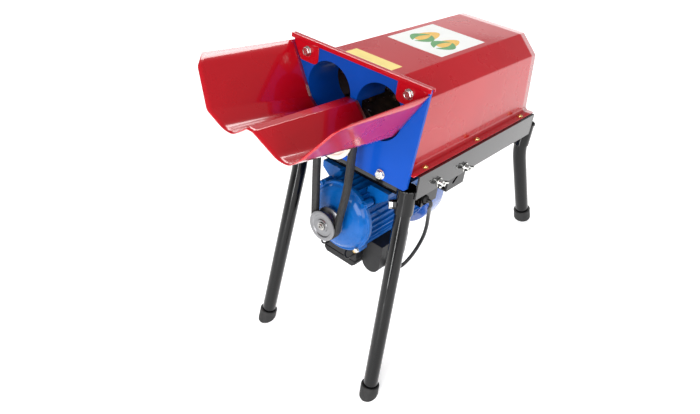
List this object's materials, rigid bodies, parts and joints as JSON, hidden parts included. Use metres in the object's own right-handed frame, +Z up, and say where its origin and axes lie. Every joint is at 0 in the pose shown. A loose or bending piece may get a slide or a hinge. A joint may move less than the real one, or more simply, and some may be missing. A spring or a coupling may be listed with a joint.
{
  "type": "corn sheller",
  "caption": "Electric corn sheller: twin feed ports and tray, hooded threshing drum, belt-driven by a motor hung in an angle-iron frame on splayed tube legs.",
  "frame": {"origin": "bottom centre of the machine as it stands on its four feet", "axes": "+Z up; +Y from the raised feed end to the low cob outlet; +X to the right seen from the feed end"},
  "size_m": [0.331, 0.6336, 0.6202],
  "materials": {
    "red_paint": "gloss enamel over folded sheet",
    "blue_paint": "gloss enamel over pressed sheet",
    "motor_paint": "satin enamel over ribbed casting",
    "black_paint": "gloss black enamel",
    "cream_paint": "satin enamel on cast iron",
    "zinc": "bright zinc plate",
    "machined_steel": "turned steel",
    "worked_steel": "mill scale with worn edges",
    "foot_rubber": "matt moulded rubber",
    "belt_rubber": "fabric-wrapped V-belt",
    "lead_sheath": "extruded cable sheath",
    "black_plastic": "fine moulded texture"
  },
  "bodies": {
    "machine": {"frame_rail_left": "black_paint", "frame_rail_right": "black_paint", "frame_cross_rail_front": "black_paint", "frame_cross_rail_rear": "black_paint", "leg_front_left": "black_paint", "leg_front_right": "black_paint", "leg_rear_left": "black_paint", "leg_rear_right": "black_paint", "leg_socket_front_left": "black_paint", "leg_socket_front_right": "black_paint", "leg_socket_rear_left": "black_paint", "leg_socket_rear_right": "black_paint", "foot_front_left": "foot_rubber", "foot_front_right": "foot_rubber", "foot_rear_left": "foot_rubber", "foot_rear_right": "foot_rubber", "leg_clamp_bolt_front_left": "zinc", "leg_clamp_bolt_front_right": "zinc", "leg_clamp_bolt_rear_left": "zinc", "leg_clamp_bolt_rear_right": "zinc", "hood": "red_paint", "front_plate": "blue_paint", "front_lip": "red_paint", "feed_duct_left": "blue_paint", "feed_duct_right": "blue_paint", "feed_tray": "red_paint", "tray_bolt_left": "zinc", "tray_bolt_right": "zinc", "plate_bolt_left": "zinc", "plate_bolt_right": "zinc", "rear_wall": "red_paint", "screen": "worked_steel", "drum_bearing_front": "machined_steel", "drum_bearing_rear": "machined_steel", "press_pin_left": "zinc", "press_pin_right": "zinc", "v_belt": "belt_rubber"},
    "drum": {"threshing_drum": "worked_steel", "drum_shaft": "machined_steel", "drum_pulley": "cream_paint"},
    "press_left": {"cob_press_left": "worked_steel"},
    "press_right": {"cob_press_right": "worked_steel"},
    "motor_carriage": {"motor_cross_bar_front": "black_paint", "motor_cross_bar_rear": "black_paint", "wing_nut_front_left": "zinc", "wing_nut_front_right": "zinc", "wing_nut_rear_left": "zinc", "wing_nut_rear_right": "zinc", "motor_body": "motor_paint", "motor_front_shield": "motor_paint", "motor_rear_shield": "motor_paint", "motor_fan_cover": "motor_paint", "terminal_box": "black_plastic", "capacitor_cover": "black_plastic", "lead_gland": "black_plastic", "lead_grommet": "foot_rubber", "motor_lead": "lead_sheath"},
    "motor_rotor": {"motor_rotor": "machined_steel", "motor_pulley": "machined_steel", "motor_fan": "black_plastic"}
  },
  "joints": [
    {"name": "motor_tension", "type": "slide", "parent": "machine", "child": "motor_carriage", "axis": [0, 0.3701, 0.929], "range_m": [0, 0.005]},
    {"name": "motor_spin", "type": "hinge", "parent": "motor_carriage", "child": "motor_rotor", "pos_m": [0, -0.0657, 0.25009], "axis": [0, 0.929, -0.3701], "continuous": true},
    {"name": "drum_spin", "type": "hinge", "parent": "machine", "child": "drum", "pos_m": [0, 0.09122, 0.3738], "axis": [0, 0.929, -0.3701], "continuous": true},
    {"name": "press_left_swing", "type": "hinge", "parent": "machine", "child": "press_left", "pos_m": [-0.06, 0.11746, 0.46668], "axis": [0, 0.929, -0.3701], "range_deg": [0, 5], "stiffness_Nm_per_rad": 2, "springref_deg": -8.59},
    {"name": "press_right_swing", "type": "hinge", "parent": "machine", "child": "press_right", "pos_m": [0.06, 0.11746, 0.46668], "axis": [0, -0.929, 0.3701], "range_deg": [0, 5], "stiffness_Nm_per_rad": 2, "springref_deg": -8.59}
  ],
  "couplings": [
    {"joint": "drum_spin", "follows": "motor_spin", "ratio": 0.6575}
  ]
}
